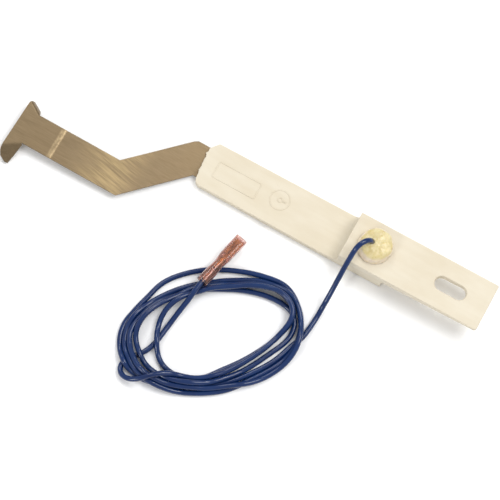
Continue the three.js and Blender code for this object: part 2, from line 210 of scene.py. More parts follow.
def steel_finish():
    made = Finish("brushed_steel", Metallic=1.0, Roughness=0.36)
    grain = made.noise(1.3, 6, 0.7, vector=made.stretched((0.05, 1.0, 1.0), 4.0))
    fine = made.noise(4.5, 4, 0.6, vector=made.stretched((0.02, 1.0, 1.0), -2.0))
    patches = made.noise(0.03, 3, distort=0.4)
    colour = made.ramp(grain, (0.3, rgb(126, 109, 84)), (0.7, rgb(139, 121, 95)))
    colour = made.mix(0.4, colour, made.ramp(fine, (0.3, rgb(116, 100, 76)), (0.7, rgb(150, 132, 106))))
    colour = made.mix(made.ramp(patches, (0.4, 0.0), (0.8, 0.3)), colour, rgb(130, 110, 80))
    scuffed = made.zone("X", *(ORIGIN.x + x * MM for x in SCUFF_ZONE))
    scratch = made.noise(1.1, 5, 0.65, vector=made.stretched((0.05, 1.0, 1.0), -11.0))
    scratches = made.ramp(scratch, (0.36, 0.1), (0.62, 1.0))
    colour = made.mix(made.mix(scuffed, (0, 0, 0, 1), scratches), colour, rgb(171, 150, 112))
    # painted highlight: light spots along the crease stand in for its glint
    crease_glint_band = made.zone("X", *(ORIGIN.x + (CREASE_X + x) * MM for x in (-1.5, -0.5, 0.4, 1.5)))
    glint_spots = made.ramp(made.noise(0.6, 4, 0.6), (0.35, 0.1), (0.65, 0.65))
    colour = made.mix(made.mix(crease_glint_band, (0, 0, 0, 1), glint_spots), colour, rgb(196, 174, 136))
    made.drive(colour, "Base Color")
    made.drive(made.ramp(grain, (0.3, 0.32), (0.7, 0.42)), "Roughness")
    made.bump(fine, 0.25, 0.02)
    made.bump(grain, 0.15, 0.03)
    return made.material


def cord_finish():
    made = Finish("blue_pvc", Roughness=0.15, Specular_IOR_Level=0.3, Coat_Weight=0.25)
    colour = made.ramp(made.noise(0.08, 3), (0.3, rgb(11, 34, 78)), (0.7, rgb(18, 47, 95)))
    dust = made.ramp(made.noise(1.2, 5, 0.6), (0.6, 0.0), (0.85, 0.12))
    made.drive(made.mix(dust, colour, rgb(66, 82, 120)), "Base Color")
    made.drive(made.ramp(made.noise(0.5, 4), (0.3, 0.1), (0.7, 0.2)), "Roughness")
    made.bump(made.noise(0.6, 3), 0.1, 0.04)
    return made.material


def epoxy_finish():
    made = Finish("amber_epoxy", Roughness=0.3, IOR=1.5, Subsurface_Weight=0.25, Coat_Weight=0.12)
    made.shader.inputs["Subsurface Radius"].default_value = (0.004, 0.003, 0.0015)
    top = made.band("Z", 15.0 * MM, 15.9 * MM)
    blotches = made.noise(0.35, 5, 0.6, distort=0.6)
    cloud = made.ramp(blotches, (0.3, rgb(199, 180, 120)), (0.7, rgb(219, 207, 164)))
    side = made.ramp(made.noise(0.3, 3), (0.3, rgb(218, 201, 176)), (0.7, rgb(231, 216, 192)))
    bubbles = made.ramp(made.cells(0.7), (0.05, 1.0), (0.16, 0.0))
    made.drive(made.mix(bubbles, made.mix(top, side, cloud), rgb(236, 230, 196)), "Base Color")
    made.drive(made.ramp(made.noise(0.6, 3), (0.3, 0.22), (0.7, 0.4)), "Roughness")
    made.bump(made.noise(0.35, 3, distort=0.5), 0.4, 0.3)
    return made.material


def nylon_finish():
    made = Finish(
        "salmon_nylon",
        Roughness=0.12,
        Transmission_Weight=0.92,
        IOR=1.18,
        Specular_IOR_Level=0.9,
        Coat_Weight=0.5,
        Coat_Roughness=0.08,
    )
    tint = made.ramp(made.noise(0.25, 3), (0.3, rgb(206, 166, 158)), (0.7, rgb(222, 186, 174)))
    made.drive(tint, "Base Color")
    made.drive(made.ramp(made.noise(0.3, 2), (0.3, 0.14), (0.7, 0.24)), "Roughness")
    made.bump(made.noise(0.2, 1), 0.1, 0.05)
    return made.material


def metal_finish(name, dark, light):
    made = Finish(name, Metallic=1.0, Roughness=0.35)
    made.drive(made.ramp(made.noise(0.4, 2), (0.3, dark), (0.7, light)), "Base Color")
    made.drive(made.ramp(made.noise(0.6, 2), (0.3, 0.32), (0.7, 0.45)), "Roughness")
    made.bump(made.noise(0.3, 2), 0.1, 0.03)
    return made.material


CREAM = insulator_finish()
STEEL = steel_finish()
PVC = cord_finish()
EPOXY = epoxy_finish()
NYLON = nylon_finish()
BRASS = metal_finish("lug_brass", rgb(186, 150, 84), rgb(216, 186, 120))
TIN = metal_finish("tinned_grip", rgb(150, 122, 98), rgb(190, 162, 132))
COPPER = metal_finish("bare_copper", rgb(168, 104, 66), rgb(214, 146, 100))


# ---- pieces --------------------------------------------------------------------------------------
def link(obj):
    bpy.context.scene.collection.objects.link(obj)
    return obj


def piece(name, obj, material, slot, *nodes):
    """Gives an object its name, finish and body, and lets it stand for CAD nodes. Its slot argument is not
    used.
    """
    obj.name = name
    obj.data.materials.clear()
    obj.data.materials.append(material)
    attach(obj, "root")
    if nodes:
        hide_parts(*nodes)
    return obj


def from_bmesh(name, bm):
    bmesh.ops.recalc_face_normals(bm, faces=bm.faces)
    mesh = bpy.data.meshes.new(name)
    bm.to_mesh(mesh)
    bm.free()
    return link(bpy.data.objects.new(name, mesh))


def apply_modifiers(obj):
    evaluated = obj.evaluated_get(bpy.context.evaluated_depsgraph_get())
    mesh = bpy.data.meshes.new_from_object(evaluated)
    obj.modifiers.clear()
    obj.data = mesh
    return obj


def soften(obj, width, segments=3, angle=35.0):
    """Rounds sharp edges and shades the rest smooth."""
    bevel = obj.modifiers.new("edges", "BEVEL")
    bevel.width = width * MM
    bevel.segments = segments
    bevel.limit_method = "ANGLE"
    bevel.angle_limit = math.radians(angle)
    bevel.harden_normals = False
    apply_modifiers(obj)
    return shade(obj, angle)


def shade(obj, angle=35.0):
    obj.data.shade_smooth()
    bm = bmesh.new()
    bm.from_mesh(obj.data)
    for edge in bm.edges:
        edge.smooth = len(edge.link_faces) == 2 and edge.calc_face_angle(0.0) < math.radians(angle)
    bm.to_mesh(obj.data)
    bm.free()
    flat = obj.modifiers.new("flats", "WEIGHTED_NORMAL")
    flat.keep_sharp = True
    flat.weight = 100
    return apply_modifiers(obj)


def combine(obj, other, operation):
    """Joins another solid to obj or cuts it away, and removes the other one."""
    change = obj.modifiers.new("solid", "BOOLEAN")
    change.operation = operation
    change.solver = "EXACT"
    change.object = other
    bpy.context.view_layer.update()
    apply_modifiers(obj)
    bpy.data.objects.remove(other)
    return obj


def arc(cx, cy, radius, start, end, steps):
    turns = [math.radians(start + (end - start) * i / steps) for i in range(steps + 1)]
    return [(cx + radius * math.cos(t), cy + radius * math.sin(t)) for t in turns]


def loft(name, rings, closed_ends=True):
    """A closed skin through rings of points that all have the same count."""
    bm = bmesh.new()
    rows = [[bm.verts.new(at(*p)) for p in ring] for ring in rings]
    for a, b in zip(rows, rows[1:]):
        for k in range(len(a)):
            j = (k + 1) % len(a)
            bm.faces.new((a[k], a[j], b[j], b[k]))
    if closed_ends:
        bm.faces.new(rows[0])
        bm.faces.new(rows[-1])
    return from_bmesh(name, bm)


def prism(name, outline, z0, z1):
    return loft(name, [[(x, y, z) for x, y in outline] for z in (z0, z1)])


def side_prism(name, profile, half_width):
    """A profile in the XZ plane carried across the width, which half_width(x) gives."""
    return loft(name, [[(x, side * half_width(x), z) for x, z in profile] for side in (-1, 1)])


def flared_cutter(name, outline_at, z_top, depth, edge):
    """A plug whose outline swells near z_top, so that the hole it cuts has a rounded rim."""
    rings = [(-depth, 0.0)]
    for step in range(5):
        t = math.radians(90 * step / 4)
        rings.append((-edge * math.cos(t), edge * (1 - math.sin(math.pi / 2 - t))))
    rings.append((1.0, edge + 0.6))
    return loft(name, [[(x, y, z_top + z) for x, y in outline_at(swell)] for z, swell in rings])


# ---- the lead: one wire from the potting, round the coil and up into the terminal ------------------
WIRE = 2.1
WIRE_EXIT_X = 69.2
LEAD_IN = [
    (69.2, 0.0, 6.9),
    (69.2, 0.0, 12.0),
    (69.2, 0.0, 16.3),
    (68.8, -0.4, 18.6),
    (67.6, -1.5, 20.3),
    (66.3, -3.5, 20.9),
    (65.5, -5.5, 20.4),
    (65.1, -7.7, 18.7),
    (64.8, -12.2, 14.2),
    (64.7, -17.6, 9.8),
    (64.6, -24.6, 5.0),
    (64.3, -31.0, 2.2),
    (64.2, -35.8, 1.3),
]
COIL_CENTRE = (33.1, -56.8)
COIL_LONG, COIL_SHORT = 35.4, 23.1
COIL_TURN = 42.0
STATIONS = 16
FIRST_STATION = 2
# How far each turn lies inside the coil's outer oval, at each sixteenth of the way round.
TURNS = [
    (2.8, 3.7, 3.6, 3.2, 1.9, 0.2, -0.5, -0.4, 0.6, -1.9, -1.7, -0.4, 0.0, 0.6, 1.5, 1.1),
    (1.1, 1.6, 0.9, 0.7, 1.1, 1.3, 1.7, 1.0, 1.7, 2.9, 3.4, 3.8, 2.0, 1.3, 1.9, 1.1),
    (-0.2, 0.1, 1.7, 2.9, 2.6, 2.7, 3.6, 2.7, 3.3, 4.6, 5.6, 6.9, 7.2, 6.4, 4.2, 4.5),
    (6.6, 6.2, 4.8, 4.0, 4.6, 5.5, 6.3, 4.6, 4.5, 5.5, 5.3, 5.0, 3.6, 2.8, 4.3, 8.7),
    (9.9, 9.4, 8.3, 6.2, 7.4, 10.5, 13.5, 12.2, 8.7, 6.8, 6.3, 6.3, 4.7, 3.4, 4.6, 8.6),
    (9.5, 8.8, 7.4, 6.3),
]
FOLD_BACK = [
    (30.3, -77.6, 5.0),
    (25.6, -79.6, 5.0),
    (21.8, -82.3, 5.0),
    (19.2, -84.9, 5.0),
    (16.8, -87.0, 4.7),
    (14.3, -88.2, 4.2),
    (11.7, -88.1, 3.6),
    (9.8, -86.8, 2.9),
    (8.9, -84.7, 2.2),
    (9.1, -82.5, 1.6),
    (10.2, -80.7, 1.2),
    (12.0, -78.7, 1.1),
    (14.0, -76.0, 1.1),
]
FOLD_TOP_POINTS = 4  # this many points of the fold lie on top of the coil before it drops
PILE_SINK = 0.7  # the pile of turns sinks to this share of its height as the wire gives
LINE_SPACING = 1.2
SAME_STRETCH = 1.6 * WIRE  # points nearer than this along the wire never push each other apart
HUMP_EASE = 5.0  # a hump over another turn is eased out over this length
PILE_LIMIT = 9.0  # nothing in the pile is as high as this, so the lead-in's arch isn't rested on
HELD_START, HELD_END = 45.0, 12.0  # lengths at the potting and at the terminal that don't settle
SETTLE_ROUNDS = 90
LEAD_TAIL = [
    (15.4, -72.6, 1.2),
    (16.7, -64.7, 1.6),
    (17.4, -59.5, 2.6),
    (18.0, -55.6, 3.7),
    (18.7, -51.5, 4.9),
    (19.3, -47.8, 5.7),
    (19.8, -44.2, 5.9),
]
CLIMB_POINT = 3  # the tail leaves the ground here and climbs over the coil
TERMINAL_ENTRY = Vector((20.1, -42.6, 5.9))
TERMINAL_MOUTH = Vector((25.2, -20.4, 5.9))
TERMINAL_AXIS = (TERMINAL_MOUTH - TERMINAL_ENTRY).normalized()


def coil_route():
    """Points of the coil's turns, flat: lay_down() gives them their height."""
    points = []
    turn = math.radians(COIL_TURN)
    for lanes in TURNS:
        for index, lane in enumerate(lanes):
            angle = -2 * math.pi * (FIRST_STATION + index) / STATIONS
            across = math.hypot(COIL_SHORT * math.cos(angle), COIL_LONG * math.sin(angle))
            share = 1 - lane * across / (COIL_LONG * COIL_SHORT)
            x = COIL_LONG * math.cos(angle) * share
            y = COIL_SHORT * math.sin(angle) * share
            points.append(
                (
                    COIL_CENTRE[0] + x * math.cos(turn) - y * math.sin(turn),
                    COIL_CENTRE[1] + x * math.sin(turn) + y * math.cos(turn),
                    WIRE / 2,
                )
            )
    return points


def evenly(points, spacing):
    """Points at an even spacing on the smooth curve through the given ones, and where the given ones fall."""
    knots = np.array(points, float)
    ends = np.vstack([2 * knots[0] - knots[1], knots, 2 * knots[-1] - knots[-2]])
    dense = []
    steps = 12
    for a, b, c, d in zip(ends, ends[1:], ends[2:], ends[3:]):
        t1 = math.sqrt(np.linalg.norm(b - a))
        t2 = t1 + math.sqrt(np.linalg.norm(c - b))
        t3 = t2 + math.sqrt(np.linalg.norm(d - c))
        for t in np.linspace(t1, t2, steps, endpoint=False):
            ab = a + (b - a) * t / t1
            bc = b + (c - b) * (t - t1) / (t2 - t1)
            cd = c + (d - c) * (t - t2) / (t3 - t2)
            abc = ab + (bc - ab) * t / t2
            bcd = bc + (cd - bc) * (t - t1) / (t3 - t1)
            dense.append(abc + (bcd - abc) * (t - t1) / (t2 - t1))
    dense = np.array(dense + [knots[-1]])
    run = np.concatenate([[0], np.cumsum(np.linalg.norm(np.diff(dense, axis=0), axis=1))])
    stops = np.linspace(0, run[-1], round(run[-1] / spacing) + 1)
    line = np.stack([np.interp(stops, run, dense[:, k]) for k in range(3)], axis=1)
    return line, np.searchsorted(stops, run[::steps][: len(points)])


def lay_down(line, order, spacing):
    """Rests each stretch of wire, in turn, on whatever was laid before it."""
    placed = np.zeros(len(line), bool)
    reach = math.ceil(SAME_STRETCH / spacing)
    for start, end, fixed in order:
        here = np.arange(start, end)
        if not fixed:
            height = np.full(len(here), WIRE / 2)
            for k, i in enumerate(here):
                under = placed & (np.abs(np.arange(len(line)) - i) > reach)
                aside = np.linalg.norm(line[under, :2] - line[i, :2], axis=1)
                below = line[under, 2][aside < WIRE]
                if len(below):
                    rest = below + np.sqrt(WIRE**2 - aside[aside < WIRE] ** 2)
                    height[k] = max(height[k], rest[below < PILE_LIMIT].max(initial=0.0))
            wide = round(HUMP_EASE / spacing)
            padded = np.pad(height, 2 * wide, mode="edge")
            windows = range(len(padded) - 2 * wide)
            raised = np.array([padded[k : k + 2 * wide + 1].max() for k in windows])
            bell = np.exp(-0.5 * (np.arange(-wide, wide + 1) / (wide * 0.5)) ** 2)
            line[here, 2] = np.convolve(raised, bell / bell.sum(), mode="valid")
        placed[here] = True
    return line


def settle(points, held, rounds, sag=0.012, stiffness=0.35, give=0.3, sideways=0.3, pull=0.25):
    """Lets the wire drop and slide a little until its turns lie beside and on each other.

    Each round lowers it by sag, evens its bends out by stiffness, undoes the share give of each overlap,
    less of it sideways, and pulls its points back to an even spacing.
    """
    line = points.copy()
    spacing = np.linalg.norm(np.diff(line, axis=0), axis=1).mean()
    apart = math.ceil(SAME_STRETCH / spacing)
    free = ~held
    first = second = np.zeros(0, int)
    for number in range(rounds):
        moved = line.copy()
        bend = np.zeros_like(line)
        bend[1:-1] = (line[:-2] + line[2:]) / 2 - line[1:-1]
        change = np.zeros_like(line)
        change[1:-1] = (bend[:-2] + bend[2:]) / 2 - bend[1:-1]
        moved[free] -= stiffness * change[free]
        moved[free, 2] -= sag
        if number % 5 == 0:
            gaps = np.linalg.norm(moved[:, None] - moved[None], axis=2)
            first, second = np.nonzero(gaps < WIRE * 1.5)
            near = second - first > apart
            first, second = first[near], second[near]
        between = moved[second] - moved[first]
        gap = np.linalg.norm(between, axis=1)
        touch = gap < WIRE
        push = between[touch] / gap[touch][:, None] * (WIRE - gap[touch])[:, None] * give
        push[:, :2] *= sideways
        shift, count = np.zeros_like(line), np.zeros(len(line))
        for ends, sign in ((first, -1), (second, 1)):
            np.add.at(shift, ends[touch], sign * push)
            np.add.at(count, ends[touch], 1)
        shift /= np.sqrt(np.maximum(count, 1))[:, None]
        moved[free] += shift[free]
        moved[:, 2] = np.maximum(moved[:, 2], WIRE / 2)
        moved[held] = line[held]
        for _ in range(3):
            step = moved[1:] - moved[:-1]
            size = np.linalg.norm(step, axis=1)[:, None]
            fix = (size - spacing) / size * step * pull
            moved[:-1][free[:-1]] += fix[free[:-1]]
            moved[1:][free[1:]] -= fix[free[1:]]
        line = moved
    return line


def lead_line():
    entry = [tuple(TERMINAL_ENTRY + TERMINAL_AXIS * x) for x in (1.0, 6.4)]
    coil = coil_route()
    route = LEAD_IN + coil + FOLD_BACK + LEAD_TAIL + entry
    line, stops = evenly(route, LINE_SPACING)
    coil_start = stops[len(LEAD_IN)]
    fold_start = stops[len(LEAD_IN) + len(coil)]
    over = stops[len(LEAD_IN) + len(coil) + FOLD_TOP_POINTS]
    climb = stops[len(LEAD_IN) + len(coil) + len(FOLD_BACK) + CLIMB_POINT]
    turns = [stops[len(LEAD_IN) + k] for k in range(0, len(coil), STATIONS)] + [fold_start]
    order = [(0, coil_start, True), (over, climb, True)]
    order += [(a, b, False) for a, b in zip(turns, turns[1:])]
    order += [(fold_start, over, False), (climb, len(line), True)]
    lay_down(line, order, LINE_SPACING)
    turns_only = slice(coil_start, over)
    line[turns_only, 2] = WIRE / 2 + (line[turns_only, 2] - WIRE / 2) * PILE_SINK
    run = LINE_SPACING * np.arange(len(line))
    held = (run < HELD_START) | (run > run[-1] - HELD_END)
    return settle(line, held, SETTLE_ROUNDS)


def make_lead():
    line = lead_line()
    data = bpy.data.curves.new("lead", "CURVE")
    data.dimensions = "3D"
    data.bevel_depth = WIRE / 2 * MM
    data.bevel_resolution = 4
    data.use_fill_caps = True
    data.resolution_u = 2
    spline = data.splines.new("NURBS")
    spline.points.add(len(line) - 1)
    for point, place in zip(spline.points, line):
        point.co = (*at(*place), 1.0)
    spline.order_u = 4
    spline.use_endpoint_u = True
    lead = link(bpy.data.objects.new("lead", data))
    length = float(np.linalg.norm(np.diff(line, axis=0), axis=1).sum()) * MM
    return piece("lead", lead, PVC, "pvc", "lead_in", "lead_coil", "lead_tail", "lead_end"), length


lead, lead_length = make_lead()


# ---- insulator arm -------------------------------------------------------------------------------
ARM_START = -2.2
ARM_FAR_CORNER = -1.0
MOUTH_FAR = (-3.3, 5.9)  # the open end slants a little, out to this corner
ARM_THICKNESS = 3.2
ARM_HALF_WIDTH_TIP, ARM_HALF_WIDTH_ROOT = 9.3, 9.6
BLOCK_START, BLOCK_END, BLOCK_TOP = 60.5, 79.5, 7.0
STEP_FILLET = 2.8
WELL_X, WELL_RADIUS, PLATE_WELL_RADIUS = 71.0, 4.8, 5.6
NEAR_CORNER_RADIUS, FAR_CORNER_RADIUS = 2.6, 0.5
POCKET_END, POCKET_HALF_WIDTH = 8.3, 6.8  # the full-width part of the slot that holds the blade
THROAT_END, THROAT_HALF_WIDTH = 76.7, 4.8  # its narrow part, for the blade's tail
RIVET_X, RIVET_PIT_RADIUS = 73.2, 2.3
PEG_X, PEG_Y = 63.6, 6.6
PEG_RINGS = ((1.25, 6.5), (1.25, 8.7), (1.0, 9.0))  # radius and height
PEG_HOLE_RADIUS = 1.55
BLADE_WIDTH, BLADE_THICKNESS, BLADE_MID_Z = 13.0, 0.8, 1.8
GAP = 0.3


def block(name, x0, x1, y0, y1, z0, z1):
    return prism(name, [(x0, y0), (x1, y0), (x1, y1), (x0, y1)], z0, z1)


def circle(cx, cy, radius, steps=48):
    return arc(cx, cy, radius, 0, 360 - 360 / steps, steps - 1)


def round_upright_edges(obj, corners, steps=6):
    """Rounds the vertical edges that stand at the given (x, y, radius) corners."""
    bm = bmesh.new()
    bm.from_mesh(obj.data)
    for x, y, radius in corners:
        place = at(x, y, 0)
        edges = [
            e
            for e in bm.edges
            if all(math.hypot(v.co.x - place.x, v.co.y - place.y) < 0.2 * MM for v in e.verts)
        ]
        bmesh.ops.bevel(bm, geom=edges, offset=radius * MM, segments=steps, profile=0.5, affect="EDGES")
    bm.to_mesh(obj.data)
    bm.free()
    return obj


def make_arm():
    profile = [
        (MOUTH_FAR[0] - 1, 0),
        (BLOCK_END, 0),
        (BLOCK_END, BLOCK_TOP),
        (BLOCK_START, BLOCK_TOP),
        *arc(BLOCK_START - STEP_FILLET, ARM_THICKNESS + STEP_FILLET, STEP_FILLET, 0, -90, 10),
        (MOUTH_FAR[0] - 1, ARM_THICKNESS),
    ]
    tip, root = ARM_HALF_WIDTH_TIP, ARM_HALF_WIDTH_ROOT
    near, far = NEAR_CORNER_RADIUS, FAR_CORNER_RADIUS
    outline = [
        *arc(ARM_START + near, -tip + near, near, 180, 270, 8),
        (BLOCK_START, -root),
        (BLOCK_END, -root),
        (BLOCK_END, root),
        (BLOCK_START, root),
        *arc(ARM_FAR_CORNER + 0.6, tip - far, far, 90, 140, 3),
        MOUTH_FAR,
    ]
    arm = prism("insulator_moulding", outline, -1, BLOCK_TOP + 1)
    combine(arm, side_prism("profile", profile, lambda x: 12.0), "INTERSECT")
    soften(arm, 0.28)
    half = BLADE_THICKNESS / 2 + GAP
    low, high = BLADE_MID_Z - half, BLADE_MID_Z + half
    pocket, throat = POCKET_HALF_WIDTH, THROAT_HALF_WIDTH
    combine(arm, block("pocket", MOUTH_FAR[0] - 1, POCKET_END, -pocket, pocket, low, high), "DIFFERENCE")
    combine(arm, block("throat", 0, THROAT_END, -throat, throat, low, high), "DIFFERENCE")
    combine(arm, prism("well", circle(WELL_X, 0, WELL_RADIUS), BLADE_MID_Z, 9), "DIFFERENCE")
    combine(arm, prism("rivet_pit", circle(RIVET_X, 0, RIVET_PIT_RADIUS), 0.45, high), "DIFFERENCE")
    for side in (-1, 1):
        rings = [[(x, y, z) for x, y in circle(PEG_X, side * PEG_Y, r, 24)] for r, z in PEG_RINGS]
        combine(arm, loft("peg", rings), "UNION")
    shade(arm)
    return piece("insulator_moulding", arm, CREAM, "insulator", "insulator_arm")


# A raised line's section: shares of the way from its outer to its inner outline, and of its height.
BEAD_SECTION = (
    (0.0, -0.2), (0.0, 0.5), (0.12, 0.85), (0.3, 1.0), (0.7, 1.0), (0.88, 0.85), (1.0, 0.5), (1.0, -0.2),
)


def raised_line(name, inner, outer, base, height):
    """A low rounded bead between two outlines with the same number of points."""
    rings = []
    for share, rise in BEAD_SECTION:
        rings.append(
            [(a[0] + (b[0] - a[0]) * share, a[1] + (b[1] - a[1]) * share, base + height * rise)
             for a, b in zip(outer, inner)]
        )
    bm = bmesh.new()
    rows = [[bm.verts.new(at(*p)) for p in ring] for ring in rings]
    for a, b in zip(rows, rows[1:] + rows[:1]):
        for k in range(len(a)):
            j = (k + 1) % len(a)
            bm.faces.new((a[k], a[j], b[j], b[k]))
    return shade(from_bmesh(name, bm))


def rounded_box(x0, x1, y0, y1, radius, steps=5):
    return [
        *arc(x1 - radius, y1 - radius, radius, 0, 90, steps),
        *arc(x0 + radius, y1 - radius, radius, 90, 180, steps),
        *arc(x0 + radius, y0 + radius, radius, 180, 270, steps),
        *arc(x1 - radius, y0 + radius, radius, 270, 360, steps),
    ]


def make_marks():
    panel = raised_line(
        "raised_panel_frame",
        rounded_box(3.05, 20.95, -3.45, 2.85, 0.3),
        rounded_box(2.6, 21.4, -3.9, 3.3, 0.7),
        ARM_THICKNESS,
        0.2,
    )
    x, y = 30.2, 1.0
    ring = raised_line("raised_ring", circle(x, y, 3.75), circle(x, y, 4.2), ARM_THICKNESS, 0.2)
    hub = raised_line("raised_hub", circle(x, y, 0.7, 24), circle(x, y, 1.1, 24), ARM_THICKNESS, 0.2)
    arrow = raised_line(
        "raised_pointer",
        [(x + 1.3, y - 0.1), (x + 2.3, y - 0.1), (x + 2.3, y + 0.1), (x + 1.3, y + 0.1)],
        [(x + 1.0, y - 0.35), (x + 2.6, y - 0.35), (x + 2.6, y + 0.35), (x + 1.0, y + 0.35)],
        ARM_THICKNESS,
        0.18,
    )
    for mark in (panel, ring, hub, arrow):
        piece(mark.name, mark, CREAM, "insulator")


make_arm()
make_marks()


# ---- mounting plate ------------------------------------------------------------------------------
PLATE_TOP, PLATE_BOTTOM = 12.0, 7.3
PLATE_TIP_THICKNESS = 1.9
SLOT_CENTRE, SLOT_LENGTH, SLOT_WIDTH = 103.4, 13.0, 5.6


def plate_half_width(x):
    return 9.7 + 0.15 * (x - BLOCK_START) / (PLATE_END - BLOCK_START)


def slot_outline(swell):
    r = SLOT_WIDTH / 2
    reach = SLOT_LENGTH / 2 - r
    return [
        *arc(SLOT_CENTRE + reach, 0, r + swell, -90, 90, 16),
        *arc(SLOT_CENTRE - reach, 0, r + swell, 90, 270, 16),
    ]


def make_plate():
    profile = [
        (BLOCK_START, PLATE_BOTTOM),
        (BLOCK_END + GAP, PLATE_BOTTOM),
        (PLATE_END, PLATE_TOP - PLATE_TIP_THICKNESS),
        (PLATE_END, PLATE_TOP),
        (BLOCK_START, PLATE_TOP),
    ]
    plate = side_prism("mounting_tongue", profile, plate_half_width)
    tip = plate_half_width(PLATE_END)
    round_upright_edges(plate, [(PLATE_END, -tip, 1.0), (PLATE_END, tip, 0.5)])
    soften(plate, 0.3)
    combine(plate, flared_cutter("slot", slot_outline, PLATE_TOP, 8, 0.3), "DIFFERENCE")
    combine(plate, prism("well", circle(WELL_X, 0, PLATE_WELL_RADIUS), 5, 14), "DIFFERENCE")
    for side in (-1, 1):
        peg_hole = prism("peg_hole", circle(PEG_X, side * PEG_Y, PEG_HOLE_RADIUS, 24), 6, 9.3)
        combine(plate, peg_hole, "DIFFERENCE")
    shade(plate)
    return piece("mounting_tongue", plate, CREAM, "insulator", "mounting_plate")


make_plate()


# ---- electrode blade -----------------------------------------------------------------------------
BLADE_JOG = 22.0
HALF = BLADE_WIDTH / 2
MITRE = BLADE_WIDTH * math.tan(math.pi / 8)
TURN_X = -9.0
HEAD_INNER_X, HEAD_OUTER_X = -66.8, -72.7
HEAD_FAR_Y, HEAD_NEAR_Y = HALF - BLADE_JOG, -HALF - BLADE_JOG
TAIL_HALF_WIDTH, TAIL_END = 4.5, 76.4
RISE_START, RISE_SLOPE = -4.0, 0.043
CREASE_HALF, CREASE_HEIGHT = 1.1, 0.09
HEAD_NEAR_END = Vector((HEAD_OUTER_X, HEAD_NEAR_Y - 4.0))
HEAD_FAR_END = Vector((HEAD_OUTER_X + 0.6, HEAD_FAR_Y + 3.4))
# each fold: the ends of its line, the side its tab lies on, degrees, bend radius and how fast it widens
NEAR_FOLD = (Vector((HEAD_INNER_X, HEAD_NEAR_Y)), HEAD_NEAR_END, -1, 32, 2.4, 0.65)
FAR_FOLD = (Vector((HEAD_INNER_X, HEAD_FAR_Y)), HEAD_FAR_END, 1, 65, 1.1, 0.0)
# each tab's rim: distances along its fold line and out past it
NEAR_TAB = [(8.5, 2.1), (8.6, 4.2), (7.3, 6.8), (6.1, 7.4), (3.4, 4.6)]
FAR_TAB = [(0.5, 1.3), (1.5, 2.4), (6.0, 2.2)]
BLADE_HOLES = ((20.0, 1.6), (44.0, 1.6), (RIVET_X, 1.3))  # X and radius


def fold_frame(fold):
    start, end, side = fold[:3]
    along = (end - start).normalized()
    out = Vector((-along.y, along.x))
    return start, along, out if out.y * side > 0 else -out


def fold_lead(fold):
    return fold[4] * math.tan(math.radians(fold[3]) / 2)


def fold_corners(fold):
    """Where the bend begins, on the flat side of a fold line."""
    start, end = fold[:2]
    out = fold_frame(fold)[2]
    return [start - out * fold_lead(fold), end - out * fold_lead(fold)]


def blade_outline():
    return [
        (TURN_X + MITRE - 0.2, -HALF),
        (7.0, -HALF),
        (8.0, -TAIL_HALF_WIDTH),
        (TAIL_END, -TAIL_HALF_WIDTH),
        (TAIL_END, TAIL_HALF_WIDTH),
        (8.0, TAIL_HALF_WIDTH),
        (7.0, HALF),
        (TURN_X + 0.6, HALF),
        (TURN_X - 0.8, HALF - 0.8),
        (TURN_X - BLADE_JOG, HEAD_FAR_Y),
        (HEAD_INNER_X, HEAD_FAR_Y),
        *fold_corners(FAR_FOLD),
        *reversed(fold_corners(NEAR_FOLD)),
        (HEAD_INNER_X, HEAD_NEAR_Y),
        (TURN_X + MITRE - BLADE_JOG, HEAD_NEAR_Y),
    ]


def add_tab(bm, fold, tab, cuts=6):
    """Adds a tab beyond a fold line, bent down round a small radius."""
    origin, along, out = fold_frame(fold)
    turn, radius = math.radians(fold[3]), fold[4]
    lead = fold_lead(fold)
    length = (fold[1] - fold[0]).length

    def bent(beside, past):
        curved = min(past, radius * turn)
        rest = past - curved
        angle = curved / radius
        reach = radius * math.sin(angle) + rest * math.cos(angle) - lead
        drop = radius * (1 - math.cos(angle)) + rest * math.sin(angle)
        place = origin + along * beside + out * reach
        return bm.verts.new((place.x, place.y, -drop))

    row = [
        min(bm.verts, key=lambda v: (Vector(v.co[:2]) - corner).length)
        for corner in fold_corners(fold)
    ]
    for cut in range(1, cuts + 1):
        past = radius * turn * cut / cuts
        beyond = [bent(0.0, past), bent(length + fold[5] * past, past)]
        bm.faces.new((row[0], row[1], beyond[1], beyond[0]))
        row = beyond
    edge = [bent(beside, past + lead) for beside, past in tab]
    bm.faces.new([row[1], row[0], *edge])


def make_blade():
    bm = bmesh.new()
    bm.faces.new([bm.verts.new((x, y, 0)) for x, y in blade_outline()])
    add_tab(bm, NEAR_FOLD, list(reversed(NEAR_TAB)))
    add_tab(bm, FAR_FOLD, FAR_TAB)
    bmesh.ops.recalc_face_normals(bm, faces=bm.faces)
    ridge = [CREASE_X + CREASE_HALF * share for share in (-1.0, -0.6, -0.3, 0.0, 0.3, 0.6, 1.0)]
    for x in (RISE_START, *ridge):
        bmesh.ops.bisect_plane(
            bm,
            geom=bm.verts[:] + bm.edges[:] + bm.faces[:],
            plane_co=(x, 0, 0),
            plane_no=(1, 0, 0),
            dist=1e-5,
        )
    for vertex in bm.verts:
        x, y, z = vertex.co
        z += RISE_SLOPE * max(0.0, RISE_START - x)
        z += CREASE_HEIGHT * max(0.0, 1 - (abs(x - CREASE_X) / CREASE_HALF) ** 2)
        vertex.co = at(x, y, BLADE_MID_Z + z)
    blade = from_bmesh("electrode_strip", bm)
    thick = blade.modifiers.new("thickness", "SOLIDIFY")
    thick.thickness = BLADE_THICKNESS * MM
    thick.offset = 0.0
    thick.use_even_offset = True
    apply_modifiers(blade)
    soften(blade, 0.12, 2, 50.0)
    for x, radius in BLADE_HOLES:
        combine(blade, prism("hole", circle(x, 0, radius, 32), 0, 4), "DIFFERENCE")
    shade(blade, 30.0)
    return piece("electrode_strip", blade, STEEL, "steel", "electrode_blade")


make_blade()


